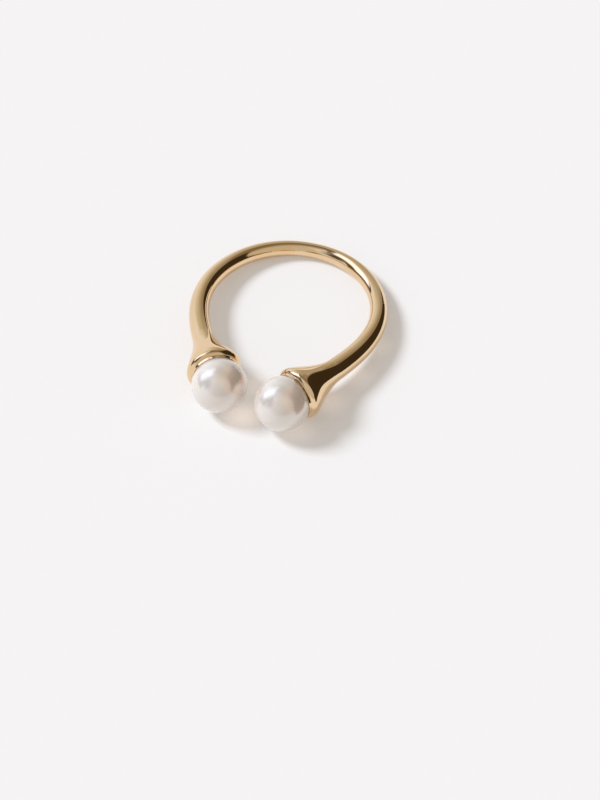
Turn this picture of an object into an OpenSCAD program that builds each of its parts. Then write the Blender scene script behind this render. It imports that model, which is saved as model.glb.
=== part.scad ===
// Open cuff ring with a pearl in a flared cup at each end of its band.
// The ring lies on its side as it rests by itself, on the rims of its two cups and on the back of
// its band, so its front is a little higher. +X is to the right, +Y towards the back, +Z up.
// The origin is on the ground, under the middle of the ring's outline.

/* [Finger] */
// Width of the finger hole from side to side
finger_w = 17.35; // [14:0.05:22]

/* [Band] */
// Thickness of the band at its back, from its inside to its outside
back_d = 1.54; // [1.2:0.02:2.4]
// Thickness of the band at its shoulders, where the cups begin to flare
shoulder_d = 2.34; // [1.8:0.02:3.2]
// Height of the band's oval section, as a share of its thickness
oval = 1.12; // [1:0.01:1.3]
// How late the band thickens towards its shoulders, where 1 is an even taper
taper = 1.18; // [1:0.02:2]
// Angle that the left arm turns through from the back to its cup
left_turn = 122.5; // [112:0.5:130]
// Angle that the right arm turns through, closed by hand a little less than the left
right_turn = 120.5; // [112:0.5:130]
// Length over which each arm eases from the round back into its straight end
ease_len = 12.8; // [8:0.2:16]

/* [Cups] */
// Depth of a pearl in its cup, from the back of the pearl to the cup's lip
seat_depth = 1.35; // [0.8:0.05:1.6]
// Width of the flat lip round the pearl
lip_w = 0.04; // [0.03:0.01:0.12]
// Wall of a cup from its flat lip out to the crest of its rim
rim_wall = 0.37; // [0.25:0.01:0.7]
// Length of the rim from the lip to the crest
rim_len = 0.8; // [0.6:0.05:1.6]
// Share of the rim that its round takes up, before the short collar at the lip
rim_share = 0.86; // [0.5:0.01:0.9]
// Angle that the round of the rim turns through from the crest to the collar
rim_turn = 64; // [30:1:80]
// Slope at which the flare runs up into the round of the rim
flare_slope = 12; // [0:1:25]
// Length of the flare from the crest to the band's shoulder
flare_len = 5.2; // [3.6:0.05:6]
// Length of the straight run of the flare into the rim, as a share of the flare
crest_share = 0.23; // [0.06:0.01:0.3]
// Length of the hollow of the flare at the shoulder, as a share of the flare
hollow_share = 0.42; // [0.25:0.01:0.6]

/* [Pearls] */
// Diameter of each pearl
pearl_d = 6; // [5:0.1:7.5]
// Gap between the two pearls at the front of the ring
pearl_gap = 1.2; // [0.6:0.1:3]

/* [Pegs] */
// Thickness of the peg that stands in each cup and holds its pearl
peg_d = 0.8; // [0.6:0.05:1]
// Length of the peg inside its pearl
peg_len = 3; // [1.5:0.1:4]
// Thickness of the glue round each pearl and its peg
glue_gap = 0.03; // [0.02:0.01:0.08]

/* [Hidden] */

$fn = 96;
gold_colour = [0.80, 0.65, 0.44];
pearl_colour = [0.93, 0.91, 0.89];

// Number of flat sides round the band and of steps along each stretch of an arm
sides = 32;
band_steps = 40;
flare_steps = 16;
round_steps = 9;
collar_steps = 3;
path_step = 0.05;

back_r = back_d / 2;
shoulder_r = shoulder_d / 2;
pearl_r = pearl_d / 2;
seat_r = pearl_r + glue_gap;

// Radius of the band's middle line: the finger is widest two thirds of the way to the shoulders
side_r = back_r + (shoulder_r - back_r) * (2 / 3) ^ taper;
hoop_r = finger_w / 2 + side_r;

// Places along a cup, measured back from the middle of its pearl, and the radii there
lip_back = pearl_r - seat_depth;
crest_back = lip_back + rim_len;
shoulder_back = crest_back + flare_len;
lip_r = sqrt(seat_r ^ 2 - lip_back ^ 2) + lip_w;
crest_r = lip_r + rim_wall;

// Radius of the round of a rim, which fits both the rim's wall and its length
rim_r = rim_share * min(rim_wall / (1 - cos(rim_turn)), rim_len / sin(rim_turn));

// An arm is its side, its turn, the points of its middle line and its reach to the pearl's middle
function arm(side, turn) = let (line = middle_line(turn)) [side, turn, line, arm_reach(turn, line)];
function side(arm) = arm[0];
function turn(arm) = arm[1];
function line(arm) = arm[2];
function reach(arm) = arm[3];
left_arm = arm(-1, left_turn);
right_arm = arm(1, right_turn);
arms = [left_arm, right_arm];

// Distance from the back, along the middle line, at which an arm starts to ease out straight
function ease_start(turn) = hoop_r * turn * PI / 180 - ease_len / 2;

// Angle that an arm has turned through at the distance s from the back
function heading(s, turn) =
    let (start = ease_start(turn), t = (s - start) / ease_len, degree = 180 / PI / hoop_r)
    t <= 0 ? s * degree : t >= 1 ? turn : (start + ease_len * (t - t ^ 3 + t ^ 4 / 2)) * degree;

// Direction along the right arm for a heading
function along(angle) = [cos(angle), -sin(angle)];

// Points of the right arm's middle line every path_step, from the back to the end of its easing
function middle_line(turn) =
    [for (i = 0, p = [0, hoop_r]; i <= (ease_start(turn) + ease_len) / path_step;
        p = p + path_step * along(heading((i + 0.5) * path_step, turn)), i = i + 1) p];

// Reach of an arm that leaves half of the pearls' gap on its side of the ring
function arm_reach(turn, line) =
    let (last = len(line) - 1, overhang = line[last].x - pearl_r - pearl_gap / 2)
    last * path_step - overhang / cos(turn);

// Point of an arm's middle line at the distance s from the back, straight on past its easing
function middle(arm, s) =
    let (last = len(line(arm)) - 1, i = min(floor(s / path_step), last),
        p = line(arm)[i] + (s - i * path_step) * along(heading(s, turn(arm))))
    [side(arm) * p.x, p.y];

// Point at the share t of a cubic curve with four control points
function cubic(p, t) =
    (1 - t) ^ 3 * p[0] + 3 * (1 - t) ^ 2 * t * p[1] + 3 * (1 - t) * t ^ 2 * p[2] + t ^ 3 * p[3];

// Radius of the band at the distance s from the back, as far as the shoulder
function band_r(arm, s) =
    back_r + (shoulder_r - back_r) * (s / (reach(arm) - shoulder_back)) ^ taper;

// Point of the round of a rim for a crest, at an angle past the crest
function rim_point(crest, angle) = crest + rim_r * [sin(angle), cos(angle) - 1];

// Sections of an arm as distance from the back and radius, from beside the back to the lip
function sections(arm) =
    let (shoulder = [reach(arm) - shoulder_back, shoulder_r],
        crest = [reach(arm) - crest_back, crest_r],
        lip = [reach(arm) - lip_back, lip_r],
        growth = (shoulder_r - back_r) * taper / shoulder.x,
        foot = rim_point(crest, -flare_slope),
        run = foot.x - shoulder.x,
        flare = [shoulder, shoulder + run * hollow_share * [1, growth],
            foot - run * crest_share * [1, tan(flare_slope)], foot],
        top = rim_point(crest, rim_turn),
        steep = (top.y - lip.y) * 2 / 3,
        collar = [top, top + steep * [1 / tan(rim_turn), -1], lip + (top - lip) / 3, lip],
        swing = flare_slope + rim_turn)
    concat(
        [for (i = [1:band_steps]) let (s = shoulder.x * i / band_steps) [s, band_r(arm, s)]],
        [for (i = [1:flare_steps]) cubic(flare, i / flare_steps)],
        [for (i = [1:round_steps]) rim_point(crest, i / round_steps * swing - flare_slope)],
        [for (i = [1:collar_steps]) cubic(collar, i / collar_steps)]);

// Height of an arm at the distance s from the back, as a share of its thickness: the band is oval
// and its flare rounds out to a round cup
function height_share(arm, s) =
    let (t = max(0, min(1, (s - reach(arm) + shoulder_back) / flare_len)))
    oval + (1 - oval) * (3 * t ^ 2 - 2 * t ^ 3);

// Corners of one section, square to the middle line
function section_ring(arm, section) =
    let (c = middle(arm, section[0]), angle = heading(section[0], turn(arm)),
        outward = [side(arm) * sin(angle), cos(angle)],
        height_r = section[1] * height_share(arm, section[0]))
    [for (i = [0:sides - 1]) let (f = 360 * i / sides, out = section[1] * cos(f))
        [c.x + out * outward.x, c.y + out * outward.y, height_r * sin(f)]];

function reversed(list) = [for (i = [len(list) - 1:-1:0]) list[i]];

// The whole casting without its seats, one skin from the left lip over the back to the right lip
module band_skin() {
    rows = concat(
        reversed([for (section = sections(left_arm)) section_ring(left_arm, section)]),
        [section_ring(right_arm, [0, back_r])],
        [for (section = sections(right_arm)) section_ring(right_arm, section)]);
    last = len(rows) - 1;
    corners = [for (row = rows, corner = row) corner];
    skin = [for (j = [0:last - 1], i = [0:sides - 1])
        let (a = j * sides + i, b = j * sides + (i + 1) % sides)
        each [[a, b + sides, b], [a, a + sides, b + sides]]];
    left_end = [for (i = [0:sides - 1]) i];
    right_end = reversed([for (i = [0:sides - 1]) last * sides + i]);
    polyhedron(corners, concat(skin, [left_end, right_end]), convexity = 6);
}

// Moves its children to the middle of an arm's pearl, with +Z straight out of the cup
module at_pearl(arm) {
    place = middle(arm, reach(arm));
    ahead = along(heading(reach(arm), turn(arm)));
    translate([place.x, place.y, 0])
        rotate([0, 90, atan2(ahead.y, side(arm) * ahead.x)])
            children();
}

// The ring tips about the level line through both cups until its band, close to its back, and its
// cups, or its pearls where they reach lower, stand on the ground. A foot is a low point of the ring
// as its distance uphill from the middle of the hoop and its depth below the ring's middle plane.
crests = [for (arm = arms) middle(arm, reach(arm) - crest_back)];
pearls = [for (arm = arms) middle(arm, reach(arm))];
level = (crests[1] - crests[0]) / norm(crests[1] - crests[0]);
uphill = [-level.y, level.x];
function rise(front_foot, back_foot) = (front_foot.y - back_foot.y) / (back_foot.x - front_foot.x);
function steepest(feet, back_foot) = max([for (foot = feet) rise(foot, back_foot)]);
front_feet = concat([for (p = crests) [p * uphill, crest_r]], [for (p = pearls) [p * uphill, pearl_r]]);
band_feet = [for (arm = arms, section = sections(arm))
    if (section.x <= reach(arm) - shoulder_back)
        [middle(arm, section.x) * uphill, section.y * height_share(arm, section.x)]];
tilt = atan(min([for (foot = band_feet) steepest(front_feet, foot)]));
lift = max([for (foot = front_feet) foot.y * cos(tilt) + foot.x * sin(tilt)]);
front_y = min([for (p = pearls) p.y]) * cos(tilt) - pearl_r;
back_y = hoop_r * cos(tilt) + back_r;

module at_rest() {
    translate([0, -(front_y + back_y) / 2, lift])
        rotate(a = -tilt, v = [level.x, level.y, 0])
            children();
}

module peg() {
    root = peg_d;
    translate([0, 0, -seat_r - root])
        cylinder(d = peg_d, h = root + glue_gap + peg_len);
}

module pearl(arm) {
    hole_d = peg_d + 2 * glue_gap;
    hole_depth = peg_len + glue_gap;
    color(pearl_colour) at_rest() at_pearl(arm)
        difference() {
            sphere(r = pearl_r);
            translate([0, 0, -pearl_r - hole_d])
                cylinder(d = hole_d, h = hole_d + hole_depth);
        }
}

// One casting: the hoop, its two flared cups with their hollow seats, and a soldered peg in each
module band() {
    color(gold_colour) at_rest() {
        difference() {
            band_skin();
            for (arm = arms) at_pearl(arm) sphere(r = seat_r);
        }
        for (arm = arms) at_pearl(arm) peg();
    }
}

module pearl_left() pearl(left_arm);
module pearl_right() pearl(right_arm);

band();
pearl_left();
pearl_right();
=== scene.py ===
"""Open cuff ring with two pearls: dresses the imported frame, and lights it as a studio still life.

The band and both pearls are rebuilt as fine meshes from the same named sizes as the part's source,
so that the mirror polish has a smooth surface to work on. The ring's sizes are in millimetres and
degrees. All meshes are in metres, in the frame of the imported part.
"""

import logging
import math
from dataclasses import dataclass
from enum import Enum
from functools import cached_property

import bpy
import numpy as np
from mathutils import Matrix, Vector


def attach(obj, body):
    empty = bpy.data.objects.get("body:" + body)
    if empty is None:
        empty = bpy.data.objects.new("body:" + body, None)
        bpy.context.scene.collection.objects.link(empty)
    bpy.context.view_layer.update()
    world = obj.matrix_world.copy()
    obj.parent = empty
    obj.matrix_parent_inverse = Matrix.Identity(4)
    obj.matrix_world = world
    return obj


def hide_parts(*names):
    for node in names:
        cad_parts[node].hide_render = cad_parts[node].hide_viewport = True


MM = 0.001
log = logging.getLogger("ring")

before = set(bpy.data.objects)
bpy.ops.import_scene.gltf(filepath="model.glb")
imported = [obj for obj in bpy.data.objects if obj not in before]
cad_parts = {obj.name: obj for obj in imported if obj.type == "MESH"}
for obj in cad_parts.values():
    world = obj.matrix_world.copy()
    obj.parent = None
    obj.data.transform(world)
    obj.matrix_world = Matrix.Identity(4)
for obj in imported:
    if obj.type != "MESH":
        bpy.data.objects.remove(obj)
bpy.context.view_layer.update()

Colour = tuple[float, float, float]
Span = tuple[float, float]
Faces = list[tuple[int, ...]]
Socket = bpy.types.NodeSocket
Value = float | tuple[float, ...] | Socket


def smooth_share(t: np.ndarray) -> np.ndarray:
    """Length up to share t of an easing that still turns like the hoop, as a share of it all."""
    return t - t ** 3 + t ** 4 / 2


def cubic(points: list[np.ndarray], count: int) -> np.ndarray:
    """Samples a cubic curve with four control points.

    Args:
        points: The four control points.
        count: How many samples to take after the first control point.

    Returns:
        Samples as rows, the last one on the last control point.
    """
    p = np.array(points, float)
    t = (np.arange(1, count + 1) / count)[:, None]
    return ((1 - t) ** 3 * p[0] + 3 * (1 - t) ** 2 * t * p[1]
            + 3 * (1 - t) * t ** 2 * p[2] + t ** 3 * p[3])


def circle(sides: int) -> tuple[np.ndarray, np.ndarray]:
    """Cosines and sines of the points of a ring, evenly spaced."""
    angle = 2 * np.pi * np.arange(sides) / sides
    return np.cos(angle), np.sin(angle)


def towards(azimuth: float, elevation: float) -> Vector:
    """Direction seen from the ring: azimuth 0 is in front of it and 90 to its right."""
    a, e = math.radians(azimuth), math.radians(elevation)
    return Vector((math.sin(a) * math.cos(e), -math.cos(a) * math.cos(e), math.sin(e)))


def sideways(azimuth: float) -> Vector:
    """Level direction a quarter turn to the right of an azimuth."""
    a = math.radians(azimuth)
    return Vector((math.cos(a), math.sin(a), 0.0))


@dataclass(frozen=True)
class RingSizes:
    """Sizes of the ring in millimetres and degrees, as the part's source names them."""

    finger_w: float = 17.35
    back_d: float = 1.54
    shoulder_d: float = 2.34
    oval: float = 1.12
    taper: float = 1.18
    left_turn: float = 122.5
    right_turn: float = 120.5
    ease_len: float = 12.8
    seat_depth: float = 1.35
    lip_w: float = 0.04
    rim_wall: float = 0.37
    rim_len: float = 0.8
    rim_share: float = 0.86
    rim_turn: float = 64.0
    flare_slope: float = 12.0
    flare_len: float = 5.2
    crest_share: float = 0.23
    hollow_share: float = 0.42
    pearl_d: float = 6.0
    pearl_gap: float = 1.2
    peg_d: float = 0.8
    peg_len: float = 3.0
    glue_gap: float = 0.03

    @property
    def back_r(self) -> float:
        """Radius of the wire at the back."""
        return self.back_d / 2

    @property
    def shoulder_r(self) -> float:
        """Radius of the wire at the shoulders."""
        return self.shoulder_d / 2

    @property
    def pearl_r(self) -> float:
        """Radius of a pearl."""
        return self.pearl_d / 2

    @property
    def seat_r(self) -> float:
        """Radius of the hollow that a pearl is glued into."""
        return self.pearl_r + self.glue_gap

    @property
    def peg_r(self) -> float:
        """Radius of a peg."""
        return self.peg_d / 2

    @property
    def peg_bevel(self) -> float:
        """Size of the bevel at the end of a peg."""
        return self.peg_d / 12

    @property
    def peg_top(self) -> float:
        """Distance of a peg's end past the middle of the pearl."""
        return self.peg_len - self.pearl_r

    @property
    def hoop_r(self) -> float:
        """Radius of the hoop's middle line: the finger is widest two thirds of the way round."""
        side_r = self.back_r + (self.shoulder_r - self.back_r) * (2 / 3) ** self.taper
        return self.finger_w / 2 + side_r

    @property
    def lip_back(self) -> float:
        """Distance of the lip behind the middle of the pearl."""
        return self.pearl_r - self.seat_depth

    @property
    def crest_back(self) -> float:
        """Distance of the crest of the rim behind the middle of the pearl."""
        return self.lip_back + self.rim_len

    @property
    def shoulder_back(self) -> float:
        """Distance of the shoulder behind the middle of the pearl."""
        return self.crest_back + self.flare_len

    @property
    def lip_r(self) -> float:
        """Outer radius of the flat lip."""
        return math.sqrt(self.seat_r ** 2 - self.lip_back ** 2) + self.lip_w

    @property
    def crest_r(self) -> float:
        """Radius of the crest of the rim."""
        return self.lip_r + self.rim_wall

    @property
    def rim_r(self) -> float:
        """Radius of the round of a rim, a share of the largest that its wall and length allow.

        Returns:
            The radius.
        """
        turn = math.radians(self.rim_turn)
        largest = min(self.rim_wall / (1 - math.cos(turn)), self.rim_len / math.sin(turn))
        return self.rim_share * largest

    def rim_point(self, crest: np.ndarray, angle: float) -> np.ndarray:
        """Place and radius on the round of a rim, at an angle in degrees past its crest."""
        turned = math.radians(angle)
        return crest + self.rim_r * np.array([math.sin(turned), math.cos(turned) - 1])


class Side(Enum):
    """The two sides of the ring, by the sign of x."""

    LEFT = -1
    RIGHT = 1


@dataclass(frozen=True)
class Arm:
    """One arm of the ring, from the middle of the back to the middle of its pearl."""

    sizes: RingSizes
    side: Side
    turn: float
    step: float = 0.005

    @cached_property
    def ease_start(self) -> float:
        """Distance from the back at which the round hoop starts to ease out straight."""
        return self.sizes.hoop_r * math.radians(self.turn) - self.sizes.ease_len / 2

    def heading(self, s: np.ndarray) -> np.ndarray:
        """Angle in radians that the arm has turned through.

        Args:
            s: Distances from the back along the middle line.

        Returns:
            The angle at each.
        """
        ease = self.sizes.ease_len
        t = np.clip((s - self.ease_start) / ease, 0, 1)
        eased = (self.ease_start + ease * smooth_share(t)) / self.sizes.hoop_r
        return np.where(s <= self.ease_start, s / self.sizes.hoop_r, eased)

    @cached_property
    def line(self) -> tuple[np.ndarray, np.ndarray]:
        """Middle line of a right arm, from the back to just past its easing.

        Returns:
            Distances from the back, and a row of x and y for each.
        """
        s = np.arange(0, self.ease_start + self.sizes.ease_len + 2 * self.step, self.step)
        angle = self.heading(s[:-1] + self.step / 2)
        x = np.concatenate([[0], np.cumsum(np.cos(angle))]) * self.step
        y = self.sizes.hoop_r - np.concatenate([[0], np.cumsum(np.sin(angle))]) * self.step
        return s, np.stack([x, y], axis=1)

    @cached_property
    def reach(self) -> float:
        """Length of the middle line.

        Returns:
            Distance from the back to the middle of the pearl.
        """
        s, points = self.line
        overhang = points[-1, 0] - self.sizes.pearl_r - self.sizes.pearl_gap / 2
        return float(s[-1] - overhang / math.cos(math.radians(self.turn)))

    def middle(self, s: np.ndarray) -> np.ndarray:
        """Points of the middle line in the plane of the ring.

        Args:
            s: Distances from the back.

        Returns:
            One row of x and y for each distance.
        """
        known, points = self.line
        beyond = np.maximum(s - known[-1], 0)
        angle = math.radians(self.turn)
        x = np.interp(s, known, points[:, 0]) + beyond * math.cos(angle)
        y = np.interp(s, known, points[:, 1]) - beyond * math.sin(angle)
        return np.stack([self.side.value * x, y], axis=1)

    @property
    def shoulder(self) -> float:
        """Distance from the back to the shoulder, where the cup begins to flare."""
        return self.reach - self.sizes.shoulder_back

    def band_radius(self, s: np.ndarray) -> np.ndarray:
        """Radius of the band at distances s from the back, as far as the shoulder."""
        growth = self.sizes.shoulder_r - self.sizes.back_r
        return self.sizes.back_r + growth * (s / self.shoulder) ** self.sizes.taper

    def height_share(self, s: np.ndarray) -> np.ndarray:
        """Height of the oval section at distances s from the back, as a share of its thickness."""
        t = np.clip((s - self.shoulder) / self.sizes.flare_len, 0, 1)
        return self.sizes.oval + (1 - self.sizes.oval) * (3 * t ** 2 - 2 * t ** 3)

    @cached_property
    def ahead(self) -> np.ndarray:
        """Direction straight out of the cup, in the plane of the ring."""
        angle = math.radians(self.turn)
        return np.array([self.side.value * math.cos(angle), -math.sin(angle), 0.0])

    @cached_property
    def outward(self) -> np.ndarray:
        """Direction away from the finger at the cup, square to ahead."""
        angle = math.radians(self.turn)
        return np.array([self.side.value * math.sin(angle), math.cos(angle), 0.0])

    @cached_property
    def pearl_middle(self) -> np.ndarray:
        """Middle of the pearl in the ring's own plane."""
        return np.append(self.middle(np.array([self.reach]))[0], 0.0)

    def lathe(self, outline: np.ndarray, first: np.ndarray, sides: int) -> np.ndarray:
        """Rings of points round the straight line out of the cup.

        Args:
            outline: Distance past the middle of the pearl and radius of each ring.
            first: Direction from the middle of a ring to its first point.
            sides: Number of points in each ring.

        Returns:
            Points as an array of rings by sides by three.
        """
        cos, sin = circle(sides)
        spokes = cos[:, None] * first + sin[:, None] * np.array([0.0, 0.0, 1.0])
        along, radius = outline[:, 0, None, None], outline[:, 1, None, None]
        return self.pearl_middle + along * self.ahead + radius * spokes


@dataclass(frozen=True)
class Rest:
    """How the ring lies: tipped about the level line through its cups, then set on the ground.

    The left arm comes first. Each arm has feet points along its band that may touch the ground.
    """

    sizes: RingSizes
    arms: tuple[Arm, Arm]
    feet: int = 40

    def places(self, back: float) -> np.ndarray:
        """Points of the left and the right arm a distance behind their pearls' middles."""
        return np.array([arm.middle(np.array([arm.reach - back]))[0] for arm in self.arms])

    @cached_property
    def level(self) -> np.ndarray:
        """Level line through both crests.

        Returns:
            Its direction in the ring's plane.
        """
        crests = self.places(self.sizes.crest_back)
        span = crests[1] - crests[0]
        return span / np.linalg.norm(span)

    @property
    def uphill(self) -> np.ndarray:
        """Direction square to the level line, towards the back of the ring."""
        return np.array([-self.level[1], self.level[0]])

    @cached_property
    def front_feet(self) -> np.ndarray:
        """Both crests and both pearls, on which the front of the ring may stand.

        Returns:
            Distance uphill and radius of each.
        """
        sizes = self.sizes
        kinds = ((sizes.crest_back, sizes.crest_r), (0.0, sizes.pearl_r))
        return np.array([(place @ self.uphill, radius)
                         for back, radius in kinds for place in self.places(back)])

    @cached_property
    def tilt(self) -> float:
        """Tilt at which the band and the front of the ring both touch the ground.

        Returns:
            Angle in radians that the front is raised by.
        """
        front, rises = self.front_feet, []
        for arm in self.arms:
            s = arm.shoulder * np.arange(1, self.feet + 1) / self.feet
            depth = arm.band_radius(s) * self.sizes.oval
            run = (arm.middle(s) @ self.uphill)[:, None] - front[:, 0]
            rises.append(((front[:, 1] - depth[:, None]) / run).max(axis=1))
        return math.atan(np.concatenate(rises).min())

    @cached_property
    def turned(self) -> np.ndarray:
        """Rotation from the ring's own plane to the resting ring."""
        return np.array(Matrix.Rotation(-self.tilt, 3, Vector((*self.level, 0.0))))

    @cached_property
    def moved(self) -> np.ndarray:
        """Shift that puts the turned ring on the ground over the origin.

        Returns:
            The shift in millimetres.
        """
        sizes = self.sizes
        front = min(self.places(0.0)[:, 1]) * math.cos(self.tilt) - sizes.pearl_r
        back = sizes.hoop_r * math.cos(self.tilt) + sizes.back_r
        up = self.front_feet @ np.array([math.sin(self.tilt), math.cos(self.tilt)])
        return np.array([0, -(front + back) / 2, up.max()])

    def place(self, points: np.ndarray) -> np.ndarray:
        """Moves points in millimetres from the ring's plane to the resting ring, in metres."""
        return (points @ self.turned.T + self.moved) * MM


class MeshMaker:
    """Turns points and faces into the pieces of the ring and of the studio."""

    @staticmethod
    def skin(rows: int, sides: int) -> Faces:
        """Four-sided faces between neighbouring rings, outward for rings that run forward.

        Args:
            rows: Number of rings.
            sides: Number of points in each ring.

        Returns:
            The faces.
        """
        faces = []
        for j in range(rows - 1):
            a, b = j * sides, (j + 1) * sides
            for i in range(sides):
                k = (i + 1) % sides
                faces.append((a + i, a + k, b + k, b + i))
        return faces

    @staticmethod
    def link(name: str, data: bpy.types.ID) -> bpy.types.Object:
        """Makes an object and links it to the scene.

        Args:
            name: The object's name.
            data: Its mesh, light or camera.

        Returns:
            The new object.
        """
        thing = bpy.data.objects.new(name, data)
        bpy.context.scene.collection.objects.link(thing)
        return thing

    @staticmethod
    def piece(name: str, points: np.ndarray, faces: Faces) -> bpy.types.Object:
        """Makes a smooth piece of the ring.

        Args:
            name: The piece's name.
            points: Rows of x, y and z in metres.
            faces: Corner numbers of each face.

        Returns:
            The new object.
        """
        mesh = bpy.data.meshes.new(name)
        mesh.from_pydata(points.tolist(), [], faces)
        mesh.validate()
        for polygon in mesh.polygons:
            polygon.use_smooth = True
        mesh.update()
        return MeshMaker.link(name, mesh)

    @staticmethod
    def sheet(name: str, corners: list[tuple[float, float, float]],
              finish: bpy.types.Material) -> bpy.types.Object:
        """Makes a flat sheet of the studio.

        Args:
            name: The sheet's name.
            corners: Its four corners in metres.
            finish: Its material.

        Returns:
            The new object.
        """
        mesh = bpy.data.meshes.new(name)
        mesh.from_pydata(corners, [], [(0, 1, 2, 3)])
        mesh.materials.append(finish)
        return MeshMaker.link(name, mesh)


class Sum(Enum):
    """What a sum does with its values."""

    TIMES = "MULTIPLY"
    TIMES_PLUS = "MULTIPLY_ADD"
    OVER = "DIVIDE"
    ABOVE = "GREATER_THAN"
    LARGER = "MAXIMUM"
    UNSIGNED = "ABSOLUTE"


@dataclass(frozen=True)
class Grain:
    """A cloudy pattern: grains per metre, number of finer layers, and their strength."""

    per_metre: float
    layers: float
    strength: float = 0.5


class Shader:
    """Adds and wires the nodes of one material or of the world."""

    def __init__(self, tree: bpy.types.NodeTree) -> None:
        """Keeps the tree and clears it."""
        self.tree = tree
        tree.nodes.clear()

    def fill(self, socket: Socket, value: Value) -> None:
        """Links or sets an input.

        Args:
            socket: The input.
            value: Another node's output, or the number, vector or colour to set.
        """
        if isinstance(value, Socket):
            self.tree.links.new(value, socket)
        elif socket.type == "RGBA":
            socket.default_value = (*value, 1.0)
        else:
            socket.default_value = value

    def node(self, kind: str, settings: dict[str, str] | None = None,
             **inputs: Value) -> bpy.types.Node:
        """Adds a node.

        Args:
            kind: Blender's name of the node type.
            settings: Properties of the node itself.
            **inputs: What goes into its inputs. An underscore in a name stands for a space, and
                i0, i1 and so on name an input by its number.

        Returns:
            The node.
        """
        node = self.tree.nodes.new(kind)
        for name, value in (settings or {}).items():
            setattr(node, name, value)
        for name, value in inputs.items():
            numbered = name[0] == "i" and name[1:].isdigit()
            self.fill(node.inputs[int(name[1:]) if numbered else name.replace("_", " ")], value)
        return node

    def sum(self, kind: Sum, a: Value, b: Value = 0.0, c: Value = 0.0) -> Socket:
        """Does a sum with up to three numbers."""
        return self.node("ShaderNodeMath", {"operation": kind.value}, i0=a, i1=b, i2=c).outputs[0]

    def dot(self, a: Value, b: Value) -> Socket:
        """Dot product of two vectors."""
        node = self.node("ShaderNodeVectorMath", {"operation": "DOT_PRODUCT"}, i0=a, i1=b)
        return node.outputs["Value"]

    def distance(self, a: Value, b: Value) -> Socket:
        """Distance between two places."""
        node = self.node("ShaderNodeVectorMath", {"operation": "DISTANCE"}, i0=a, i1=b)
        return node.outputs["Value"]

    def plus(self, under: Value, share: Value, added: Value) -> Socket:
        """Adds a share of one colour to another.

        Args:
            under: The colour added to.
            share: The share.
            added: The colour that the share is taken of.

        Returns:
            The summed colour.
        """
        lit = self.node("ShaderNodeVectorMath", {"operation": "SCALE"}, i0=added, Scale=share)
        return self.node("ShaderNodeVectorMath", {"operation": "ADD"},
                         i0=under, i1=lit.outputs[0]).outputs[0]

    def mix(self, share: Value, a: Value, b: Value) -> Socket:
        """Mixes two colours, which are inputs 6 and 7, with the second one's share, input 0."""
        node = self.node("ShaderNodeMix", {"data_type": "RGBA"}, i0=share, i6=a, i7=b)
        return node.outputs[2]

    def spread(self, value: Value, span: Span, result: Span = (0.0, 1.0)) -> Socket:
        """Maps a range of a value smoothly onto another range.

        Args:
            value: The value.
            span: Where the range starts and ends.
            result: What its start and its end become.

        Returns:
            The mapped value.
        """
        node = self.node("ShaderNodeMapRange", {"interpolation_type": "SMOOTHSTEP"},
                         i0=value, i1=span[0], i2=span[1], i3=result[0], i4=result[1])
        return node.outputs[0]

    def noise(self, place: Value, grain: Grain) -> Socket:
        """Cloudy pattern.

        Args:
            place: The place in metres.
            grain: The kind of pattern.

        Returns:
            The pattern's value there, from 0 to 1.
        """
        node = self.node("ShaderNodeTexNoise", Vector=place, Scale=grain.per_metre,
                         Detail=grain.layers, Roughness=grain.strength)
        return node.outputs["Fac"]

    def bump(self, height: Value, strength: float, depth: float) -> Socket:
        """Relief of a surface from a height; depth is in metres."""
        node = self.node("ShaderNodeBump", Strength=strength, Distance=depth, Height=height)
        return node.outputs[0]

    def surface(self, shader: bpy.types.Node) -> None:
        """Makes a shader the surface of the material."""
        self.node("ShaderNodeOutputMaterial", Surface=shader.outputs[0])

    @staticmethod
    def start(name: str) -> tuple[bpy.types.Material, "Shader"]:
        """Starts a new material.

        Args:
            name: The material's name.

        Returns:
            The empty material, and the shader to fill it with.
        """
        material = bpy.data.materials.new(name)
        material.use_nodes = True
        return material, Shader(material.node_tree)


@dataclass(frozen=True)
class PolishedGold:
    """Champagne-yellow gold, buffed to a mirror, with the faint marks of wear and of the buff."""

    name: str = "polished_gold"
    bright: Colour = (0.875, 0.665, 0.425)
    deep: Colour = (0.84, 0.61, 0.36)
    drift: Grain = Grain(260.0, 3.0)
    drift_span: Span = (0.35, 0.65)
    gloss: float = 0.03
    worn_gloss: float = 0.07
    wear: Grain = Grain(700.0, 4.0, 0.6)
    wear_span: Span = (0.45, 0.7)
    hairs: Grain = Grain(42000.0, 2.0, 0.7)
    hair_stretch: tuple[float, float, float] = (1.0, 1.0, 0.12)
    hair_share: float = 0.05
    swell: Grain = Grain(900.0, 1.0)
    swell_share: float = 0.9
    relief: float = 0.25
    relief_m: float = 4e-6

    def make(self) -> bpy.types.Material:
        """Builds the material.

        Returns:
            The gold.
        """
        material, s = Shader.start(self.name)
        place = s.node("ShaderNodeTexCoord").outputs["Object"]
        tint = s.mix(s.spread(s.noise(place, self.drift), self.drift_span), self.bright, self.deep)
        worn = s.spread(s.noise(place, self.wear), self.wear_span)
        rough = s.sum(Sum.TIMES_PLUS, worn, self.worn_gloss - self.gloss, self.gloss)
        drawn = s.node("ShaderNodeMapping", Vector=place, Scale=self.hair_stretch).outputs[0]
        hairs = s.sum(Sum.TIMES, s.noise(drawn, self.hairs), self.hair_share)
        height = s.sum(Sum.TIMES_PLUS, s.noise(place, self.swell), self.swell_share, hairs)
        s.surface(s.node("ShaderNodeBsdfPrincipled", Base_Color=tint, Metallic=1.0,
                         Roughness=rough, Normal=s.bump(height, self.relief, self.relief_m)))
        return material


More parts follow.
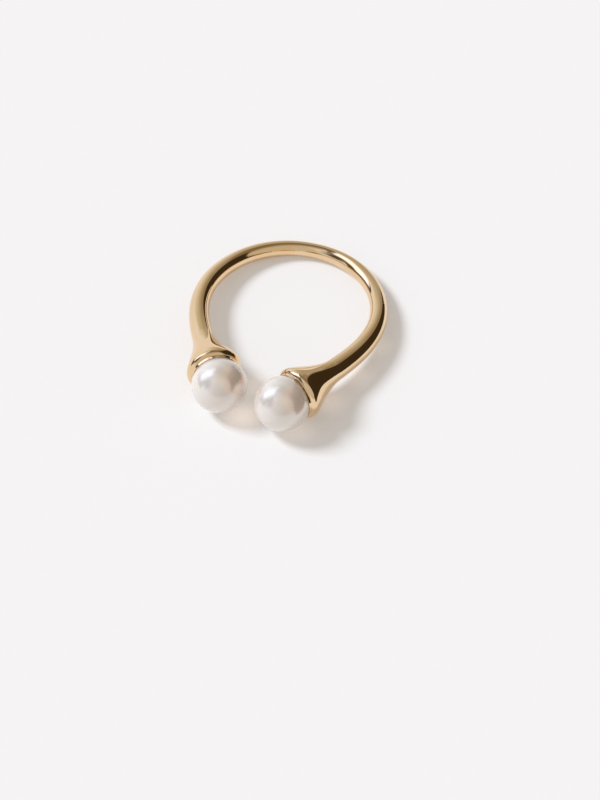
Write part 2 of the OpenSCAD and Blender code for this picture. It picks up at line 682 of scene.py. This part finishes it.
@dataclass(frozen=True)
class Nacre:
    """Off-white nacre of a pearl, with a soft deep gloss and the faint unevenness of its skin.

    Each pearl has a painted warm reflection of the gold cup on its side that faces one direction.
    Light goes into the nacre by depth_mm, and red, green and blue light by their own shares of it.
    """

    name: str = "nacre"
    body: Colour = (0.83, 0.79, 0.735)
    rose: Colour = (0.83, 0.765, 0.715)
    cloud: Grain = Grain(330.0, 3.0)
    cloud_span: Span = (0.35, 0.7)
    # Colour, facing direction and spread of the painted warm reflection of the gold cup.
    painted_gold_reflection: Colour = (0.97, 0.80, 0.69)
    painted_reflection_side: tuple[float, float, float] = (0.62, -0.21, 0.75)
    painted_reflection_span: Span = (0.78, 0.97)
    skin: Grain = Grain(1500.0, 3.0)
    gloss: float = 0.24
    gloss_spread: float = 0.08
    relief: float = 0.2
    relief_m: float = 6e-6
    lustre: float = 0.36
    refraction: float = 1.6
    depth: float = 0.6
    depth_mm: float = 1.2
    depth_shares: Colour = (1.0, 0.65, 0.45)
    coat: float = 0.3
    coat_gloss: float = 0.08

    def make(self) -> bpy.types.Material:
        """Builds the material.

        Returns:
            The nacre.
        """
        material, s = Shader.start(self.name)
        found = s.node("ShaderNodeTexCoord").outputs
        cloud = s.spread(s.noise(found["Object"], self.cloud), self.cloud_span)
        # Painted warm reflection of the gold cup, on the side of the pearl that faces one
        # direction.
        painted_reflection_share = s.spread(s.dot(found["Normal"], self.painted_reflection_side), self.painted_reflection_span)
        tint = s.mix(painted_reflection_share, s.mix(cloud, self.body, self.rose), self.painted_gold_reflection)
        skin = s.noise(found["Object"], self.skin)
        smoothest = self.gloss - self.gloss_spread / 2
        rough = s.sum(Sum.TIMES_PLUS, skin, self.gloss_spread, smoothest)
        s.surface(s.node("ShaderNodeBsdfPrincipled", Base_Color=tint, Roughness=rough,
                         Normal=s.bump(skin, self.relief, self.relief_m),
                         Metallic=self.lustre, IOR=self.refraction, Subsurface_Weight=self.depth,
                         Subsurface_Radius=self.depth_shares, Subsurface_Scale=self.depth_mm * MM,
                         Coat_Weight=self.coat, Coat_Roughness=self.coat_gloss))
        return material


@dataclass(frozen=True)
class PaintedGleam:
    """A soft patch of warm light painted on the paper, which lightens the ring's shadow there; in
    millimetres.
    """

    x: float
    y: float
    radius: float
    strength: float


@dataclass(frozen=True)
class PaperFloor:
    """Pale matt paper under the ring that glows evenly, with patches of warm light painted on it
    that lighten the ring's shadows.
    """

    name: str = "pale_paper"
    colour: Colour = (0.705, 0.705, 0.71)
    shade: Colour = (0.69, 0.69, 0.695)
    grain: Grain = Grain(1200.0, 3.0)
    roughness: float = 0.9
    glow: Colour = (0.232, 0.215, 0.198)
    warm: Colour = (1.0, 0.78, 0.64)
    # Painted patches of warm light that lighten the ring's shadows on the paper.
    painted_gleams: tuple[PaintedGleam, ...] = (
        PaintedGleam(-0.7, -11.0, 3.3, 0.24), PaintedGleam(-0.9, -6.6, 2.6, 0.12), PaintedGleam(10.2, 2.4, 2.2, 0.07),
        PaintedGleam(9.6, -2.2, 2.4, 0.08), PaintedGleam(7.6, -6.6, 2.6, 0.10), PaintedGleam(5.2, -11.2, 3.2, 0.10))

    def make(self) -> bpy.types.Material:
        """Builds the material.

        Returns:
            The paper.
        """
        material, s = Shader.start(self.name)
        place = s.node("ShaderNodeTexCoord").outputs["Object"]
        tint = s.mix(s.noise(place, self.grain), self.colour, self.shade)
        glow: Value = self.glow
        # Paints the patches of warm light into the paper's glow.
        for gleam in self.painted_gleams:
            away = s.distance(place, (gleam.x * MM, gleam.y * MM, 0.0))
            share = s.spread(away, (0.0, gleam.radius * MM), (gleam.strength, 0.0))
            glow = s.plus(glow, share, self.warm)
        s.surface(s.node("ShaderNodeBsdfPrincipled", Base_Color=tint, Roughness=self.roughness,
                         Specular_IOR_Level=0.0, Emission_Color=glow, Emission_Strength=1.0))
        return material


@dataclass(frozen=True)
class BlackCard:
    """Dark card that keeps one even tone in every reflection."""

    name: str = "black_card"
    colour: Colour = (0.042, 0.030, 0.015)

    def make(self) -> bpy.types.Material:
        """Builds the material.

        Returns:
            The card.
        """
        material, s = Shader.start(self.name)
        s.surface(s.node("ShaderNodeEmission", Color=self.colour, Strength=1.0))
        return material


@dataclass
class Band:
    """The casting: a round hoop that thickens towards two flared cups, each with its peg."""

    sizes: RingSizes
    rest: Rest
    sides: int = 112
    band_rows: int = 150
    flare_rows: int = 60
    round_rows: int = 30
    collar_rows: int = 12
    seat_rows: int = 20
    peg_rows: int = 6

    def profile(self, arm: Arm) -> np.ndarray:
        """Outline of one arm: hoop, flare, round of the rim, and collar down to the lip.

        Args:
            arm: The arm.

        Returns:
            Distance from the back and radius of each ring, from the back to the lip.
        """
        sizes = self.sizes
        shoulder = np.array([arm.shoulder, sizes.shoulder_r])
        crest = np.array([arm.reach - sizes.crest_back, sizes.crest_r])
        lip = np.array([arm.reach - sizes.lip_back, sizes.lip_r])
        growth = (sizes.shoulder_r - sizes.back_r) * sizes.taper / arm.shoulder
        foot = sizes.rim_point(crest, -sizes.flare_slope)
        top = sizes.rim_point(crest, sizes.rim_turn)
        run = foot[0] - shoulder[0]
        slope = math.tan(math.radians(sizes.flare_slope))
        flare = [shoulder, shoulder + run * sizes.hollow_share * np.array([1, growth]),
                 foot - run * sizes.crest_share * np.array([1, slope]), foot]
        # The collar leaves the round along its tangent, and ends on the straight line to the lip.
        steep = (top[1] - lip[1]) * 2 / 3
        collar = [top, top + steep * np.array([1 / math.tan(math.radians(sizes.rim_turn)), -1]),
                  lip + (top - lip) / 3, lip]
        s = arm.shoulder * np.arange(1, self.band_rows + 1) / self.band_rows
        hoop = np.stack([s, arm.band_radius(s)], axis=1)
        angles = np.linspace(-sizes.flare_slope, sizes.rim_turn, self.round_rows + 1)[1:]
        rim = np.array([sizes.rim_point(crest, angle) for angle in angles])
        return np.concatenate([hoop, cubic(flare, self.flare_rows), rim,
                               cubic(collar, self.collar_rows)])

    def swept(self, arm: Arm, profile: np.ndarray) -> np.ndarray:
        """Rings of points square to an arm's middle line.

        Args:
            arm: The arm.
            profile: Distance from the back and radius of each ring.

        Returns:
            Points as an array of rings by sides by three.
        """
        s, radius = profile[:, 0], profile[:, 1]
        middle, angle = arm.middle(s), arm.heading(s)
        outward = np.stack([arm.side.value * np.sin(angle), np.cos(angle)], axis=1)
        cos, sin = circle(self.sides)
        flat = middle[:, None, :] + (radius[:, None] * cos)[:, :, None] * outward[:, None, :]
        high = ((radius * arm.height_share(s))[:, None] * sin)[:, :, None]
        return np.concatenate([flat, high], axis=2)

    def seat(self, arm: Arm) -> np.ndarray:
        """Rings of the hollow seat and of the peg that stands in it.

        Args:
            arm: The arm.

        Returns:
            Points as an array of rings by sides by three, from the lip inwards.
        """
        sizes = self.sizes
        lip, foot = math.acos(sizes.lip_back / sizes.seat_r), math.asin(sizes.peg_r / sizes.seat_r)
        angle = np.linspace(lip, foot, self.seat_rows)
        dish = np.stack([-sizes.seat_r * np.cos(angle), sizes.seat_r * np.sin(angle)], axis=1)
        wall = np.linspace(dish[-1, 0], sizes.peg_top - sizes.peg_bevel, self.peg_rows)[1:]
        peg = np.stack([wall, np.full(len(wall), sizes.peg_r)], axis=1)
        end = np.array([[sizes.peg_top, sizes.peg_r - sizes.peg_bevel]])
        return arm.lathe(np.concatenate([dish, peg, end]), arm.outward, self.sides)

    def build(self) -> bpy.types.Object:
        """Builds the whole casting as one closed mesh.

        Returns:
            The casting.
        """
        left, right = (np.concatenate([self.swept(arm, self.profile(arm)), self.seat(arm)])
                       for arm in self.rest.arms)
        back = self.swept(self.rest.arms[1], np.array([[0.0, self.sizes.back_r]]))
        rings = np.concatenate([left[::-1], back, right])
        last = (len(rings) - 1) * self.sides
        faces = MeshMaker.skin(len(rings), self.sides)
        faces.append(tuple(reversed(range(self.sides))))
        faces.append(tuple(range(last, last + self.sides)))
        return MeshMaker.piece("gold_band", self.rest.place(rings.reshape(-1, 3)), faces)

    def dress(self, piece: bpy.types.Object, gold: bpy.types.Material) -> None:
        """Gives the casting its finish and its place in the frame.

        Args:
            piece: The casting.
            gold: The polished gold.
        """
        piece.data.materials.append(gold)
        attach(piece, "root")
        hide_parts("band")


@dataclass
class Pearl:
    """One half-drilled round pearl on its peg."""

    sizes: RingSizes
    rest: Rest
    arm: Arm
    node: str
    sides: int = 160
    rows: int = 112
    hole_rows: int = 5

    def outline(self) -> np.ndarray:
        """Outline of the pearl, from its far pole round to the end of the drilled hole.

        Returns:
            Distance past the middle along the drill's axis, and radius, of each ring.
        """
        sizes = self.sizes
        hole_r = sizes.peg_r + sizes.glue_gap
        mouth = math.asin(hole_r / sizes.pearl_r)
        angle = np.linspace(0, math.pi - mouth, self.rows + 1)[1:]
        ball = np.stack([sizes.pearl_r * np.cos(angle), sizes.pearl_r * np.sin(angle)], axis=1)
        end = sizes.peg_len + sizes.glue_gap - sizes.pearl_r
        wall = np.linspace(ball[-1, 0], end, self.hole_rows)[1:]
        return np.concatenate([ball, np.stack([wall, np.full(len(wall), hole_r)], axis=1)])

    def build(self) -> bpy.types.Object:
        """Builds the pearl as one closed mesh with its drilled hole.

        Returns:
            The pearl.
        """
        outline, ahead = self.outline(), self.arm.ahead
        across = np.array([ahead[1], -ahead[0], 0.0])
        rings = self.arm.lathe(outline, across, self.sides)
        pole = self.arm.pearl_middle + self.sizes.pearl_r * ahead
        points = np.concatenate([rings.reshape(-1, 3), [pole]])
        last, tip = (len(outline) - 1) * self.sides, len(points) - 1
        faces = MeshMaker.skin(len(outline), self.sides)
        faces += [(i, tip, (i + 1) % self.sides) for i in range(self.sides)]
        faces.append(tuple(range(last, last + self.sides)))
        return MeshMaker.piece("nacre_" + self.node, self.rest.place(points), faces)

    def dress(self, piece: bpy.types.Object, nacre: bpy.types.Material) -> None:
        """Gives the pearl its finish and its place in the frame.

        Args:
            piece: The pearl.
            nacre: The nacre.
        """
        piece.data.materials.append(nacre)
        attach(piece, "root")
        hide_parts(self.node)


class Softness(Enum):
    """How soft the edge of a studio card looks, in degrees."""

    CRISP = 2.0
    SOFT = 9.0
    FADED = 22.0
    VEILED = 34.0


@dataclass(frozen=True)
class Card:
    """A flat card or soft box of the studio, seen from the ring; angles are in degrees.

    A look sees the card only where the cosine between the two is above least_cosine.
    """

    name: str
    azimuth: float
    elevation: float
    width: float
    height: float
    colour: Colour
    roll: float = 0.0
    edge: Softness = Softness.SOFT
    least_cosine: float = 0.02

    def axes(self) -> tuple[Vector, Vector, Vector]:
        """Directions of the card as seen from the ring.

        Returns:
            The direction to it, and its own right and up.
        """
        ahead, right = towards(self.azimuth, self.elevation), sideways(self.azimuth)
        up = right.cross(ahead)
        turned = Matrix.Rotation(math.radians(self.roll), 3, ahead)
        return ahead, turned @ right, turned @ up

    def paint(self, s: Shader, direction: Socket, under: Value) -> Socket:
        """Paints the card over the room.

        Args:
            s: The world's shader.
            direction: The direction looked in.
            under: Colour of what is behind the card.

        Returns:
            The new colour.
        """
        ahead, right, up = self.axes()
        depth = s.dot(direction, tuple(ahead))
        share = s.sum(Sum.ABOVE, depth, self.least_cosine)
        plane = s.sum(Sum.LARGER, depth, self.least_cosine)
        half_edge = math.radians(self.edge.value) / 2
        for axis, angle in ((right, self.width), (up, self.height)):
            reach = math.tan(math.radians(angle / 2))
            off = s.sum(Sum.UNSIGNED, s.sum(Sum.OVER, s.dot(direction, tuple(axis)), plane))
            inside = s.spread(off, (reach - half_edge, reach + half_edge), (1.0, 0.0))
            share = s.sum(Sum.TIMES, share, inside)
        return s.mix(share, under, self.colour)


@dataclass(frozen=True)
class Lamp:
    """The key lamp, far off to the left of the ring; angles are in degrees."""

    azimuth: float = -91.0
    elevation: float = 45.5
    across: float = 18.0
    away_m: float = 0.5
    strength: float = 2.62
    colour: Colour = (0.86, 0.91, 1.0)

    def hang(self) -> bpy.types.Object:
        """Hangs the lamp and aims it at the ring.

        Returns:
            The lamp.
        """
        data = bpy.data.lights.new("key_lamp", "SUN")
        data.energy, data.angle, data.color = self.strength, math.radians(self.across), self.colour
        lamp = MeshMaker.link("key_lamp", data)
        lamp.visible_glossy = False
        back = towards(self.azimuth, self.elevation)
        lamp.location = back * self.away_m
        lamp.rotation_euler = back.to_track_quat("Z", "Y").to_euler()
        return lamp


@dataclass(frozen=True)
class Board:
    """A low dark board close to the right of the ring, seen only in reflections; in millimetres."""

    foot_x: float = 20.5
    from_y: float = -18.0
    to_y: float = 30.0
    height: float = 8.0

    def stand(self) -> bpy.types.Object:
        """Stands the board on the floor.

        Returns:
            The board.
        """
        x, near, far, top = (v * MM for v in (self.foot_x, self.from_y, self.to_y, self.height))
        corners = [(x, near, 0), (x, far, 0), (x, far, top), (x, near, top)]
        board = MeshMaker.sheet("dark_board", corners, BlackCard().make())
        board.visible_camera = board.visible_diffuse = board.visible_shadow = False
        return board


@dataclass(frozen=True)
class Studio:
    """The plain floor, and the soft boxes, walls and dark cards round the ring."""

    room: Colour = (0.90, 0.94, 1.02)
    ambient: Colour = (0.47, 0.44, 0.41)
    backdrop: Colour = (0.913, 0.896, 0.896)
    floor_m: float = 4.0
    cards: tuple[Card, ...] = (
        Card("front_wall", 28.5, 33.5, 82.5, 86.5, (0.64, 0.60, 0.54), -30.0, Softness.VEILED),
        Card("ceiling", 162.0, 83.5, 49.0, 44.5, (0.51, 0.49, 0.45), 17.0, Softness.FADED),
        Card("back_top", 145.5, 64.0, 71.0, 43.0, (0.23, 0.18, 0.10), 24.0, Softness.VEILED),
        Card("back_wall", -165.0, 33.5, 57.0, 34.0, (0.45, 0.41, 0.31), 10.5, Softness.VEILED),
        Card("back_low", -178.5, 4.5, 44.5, 36.0, (0.47, 0.43, 0.35), -36.5, Softness.VEILED),
        Card("left_wall", -143.0, 26.5, 12.5, 33.0, (0.85, 0.86, 0.88), 58.5, Softness.VEILED),
        Card("side_shade", 116.0, 25.0, 105.0, 42.5, (0.34, 0.29, 0.20), 21.0, Softness.FADED),
        Card("dark_side", 121.0, 13.5, 65.5, 85.5, (0.044, 0.031, 0.016), 52.0, Softness.SOFT),
        Card("dark_low", 122.0, 3.0, 72.0, 22.0, (0.042, 0.030, 0.015), 0.0, Softness.CRISP),
        Card("dark_flag", -49.5, 36.0, 26.5, 41.5, (0.10, 0.08, 0.051), 31.5, Softness.FADED),
        Card("stand", -84.5, 16.0, 48.0, 37.0, (0.12, 0.10, 0.09), 2.5, Softness.CRISP),
        Card("box_frame", -117.5, 65.5, 62.5, 6.5, (0.20, 0.16, 0.11), 14.5, Softness.CRISP),
        Card("box_top", -119.5, 60.5, 36.0, 6.5, (1.20, 1.40, 1.80), 20.0, Softness.CRISP),
        Card("soft_box", -94.5, 39.0, 28.0, 48.0, (1.50, 1.66, 2.20), 13.5, Softness.SOFT))

    def light(self) -> None:
        """Builds the world: reflections see the cards, matt surfaces an even light."""
        world = bpy.data.worlds.new("studio")
        bpy.context.scene.world = world
        world.use_nodes = True
        world.cycles.sampling_method = "NONE"
        s = Shader(world.node_tree)
        direction = s.node("ShaderNodeTexCoord").outputs["Generated"]
        colour: Value = self.room
        for card in self.cards:
            colour = card.paint(s, direction, colour)
        ray = s.node("ShaderNodeLightPath").outputs
        lit = s.mix(ray["Is Diffuse Ray"], colour, self.ambient)
        shown = s.mix(ray["Is Camera Ray"], lit, self.backdrop)
        background = s.node("ShaderNodeBackground", Color=shown, Strength=1.0)
        s.node("ShaderNodeOutputWorld", Surface=background.outputs[0])

    def lay_floor(self) -> bpy.types.Object:
        """Lays the paper floor.

        Returns:
            The floor.
        """
        half = self.floor_m / 2
        corners = [(-half, -half, 0), (half, -half, 0), (half, half, 0), (-half, half, 0)]
        floor = MeshMaker.sheet("floor", corners, PaperFloor().make())
        return floor


@dataclass(frozen=True)
class PhotoCamera:
    """The camera of the photograph, found from the ring's outline; angles are in degrees.

    The middle of the hoop is seen at middle_px in a picture of frame_px, at scale_px to the
    millimetre, from distance_mm away.
    """

    azimuth: float = 20.147
    elevation: float = 49.496
    roll: float = -3.394
    distance_mm: float = 600.0
    scale_px: float = 9.243
    frame_px: tuple[int, int] = (600, 800)
    middle_px: tuple[float, float] = (289.141, 310.121)
    sensor_mm: float = 36.0
    clip_m: Span = (0.01, 20.0)

    def stand(self, rest: Rest) -> Matrix:
        """Works out where the camera stands and how it is turned.

        Args:
            rest: Where the ring lies.

        Returns:
            The camera's place as a matrix.
        """
        roll = math.radians(self.roll)
        back, level = towards(self.azimuth, self.elevation), sideways(self.azimuth)
        steep = back.cross(level)
        right = math.cos(roll) * level + math.sin(roll) * steep
        up = -math.sin(roll) * level + math.cos(roll) * steep
        middle = Vector(rest.place(np.zeros((1, 3)))[0])
        off_x = (self.frame_px[0] / 2 - self.middle_px[0]) / self.scale_px
        off_y = (self.frame_px[1] / 2 - self.middle_px[1]) / self.scale_px
        aim = middle + (right * off_x - up * off_y) * MM
        spot = middle + back * self.distance_mm * MM
        out = (spot - aim).normalized()
        across = up.cross(out).normalized()
        turned = Matrix((across, out.cross(across), out)).transposed().to_4x4()
        return Matrix.Translation(spot) @ turned

    def place(self, rest: Rest) -> bpy.types.Object:
        """Sets the camera up.

        Args:
            rest: Where the ring lies.

        Returns:
            The camera.
        """
        data = bpy.data.cameras.new("camera")
        data.sensor_fit = "HORIZONTAL"
        data.sensor_width = self.sensor_mm
        data.lens = self.scale_px * self.distance_mm / self.frame_px[0] * self.sensor_mm
        data.clip_start, data.clip_end = self.clip_m
        camera = MeshMaker.link("camera", data)
        camera.matrix_world = self.stand(rest)
        bpy.context.scene.camera = camera
        return camera


def main() -> None:
    """Builds and dresses the ring, then sets up the studio and the camera."""
    logging.basicConfig(level=logging.INFO, format="%(name)s: %(message)s")
    sizes = RingSizes()
    arms = (Arm(sizes, Side.LEFT, sizes.left_turn), Arm(sizes, Side.RIGHT, sizes.right_turn))
    rest = Rest(sizes, arms)
    gold, nacre = PolishedGold().make(), Nacre().make()
    band = Band(sizes, rest)
    casting = band.build()
    band.dress(casting, gold)
    log.info("%s: %d points", casting.name, len(casting.data.vertices))
    for arm, node in zip(arms, ("pearl_left", "pearl_right")):
        pearl = Pearl(sizes, rest, arm, node)
        piece = pearl.build()
        pearl.dress(piece, nacre)
        log.info("%s: %d points", piece.name, len(piece.data.vertices))
    studio = Studio()
    studio.light()
    log.info("%s hung", Lamp().hang().name)
    log.info("%s laid, %d cards", studio.lay_floor().name, len(studio.cards))
    log.info("%s stood", Board().stand().name)
    log.info("%s placed", PhotoCamera().place(rest).name)
    bpy.context.scene.view_settings.view_transform = "Standard"
    bpy.context.view_layer.update()


if __name__ == "__main__":
    main()
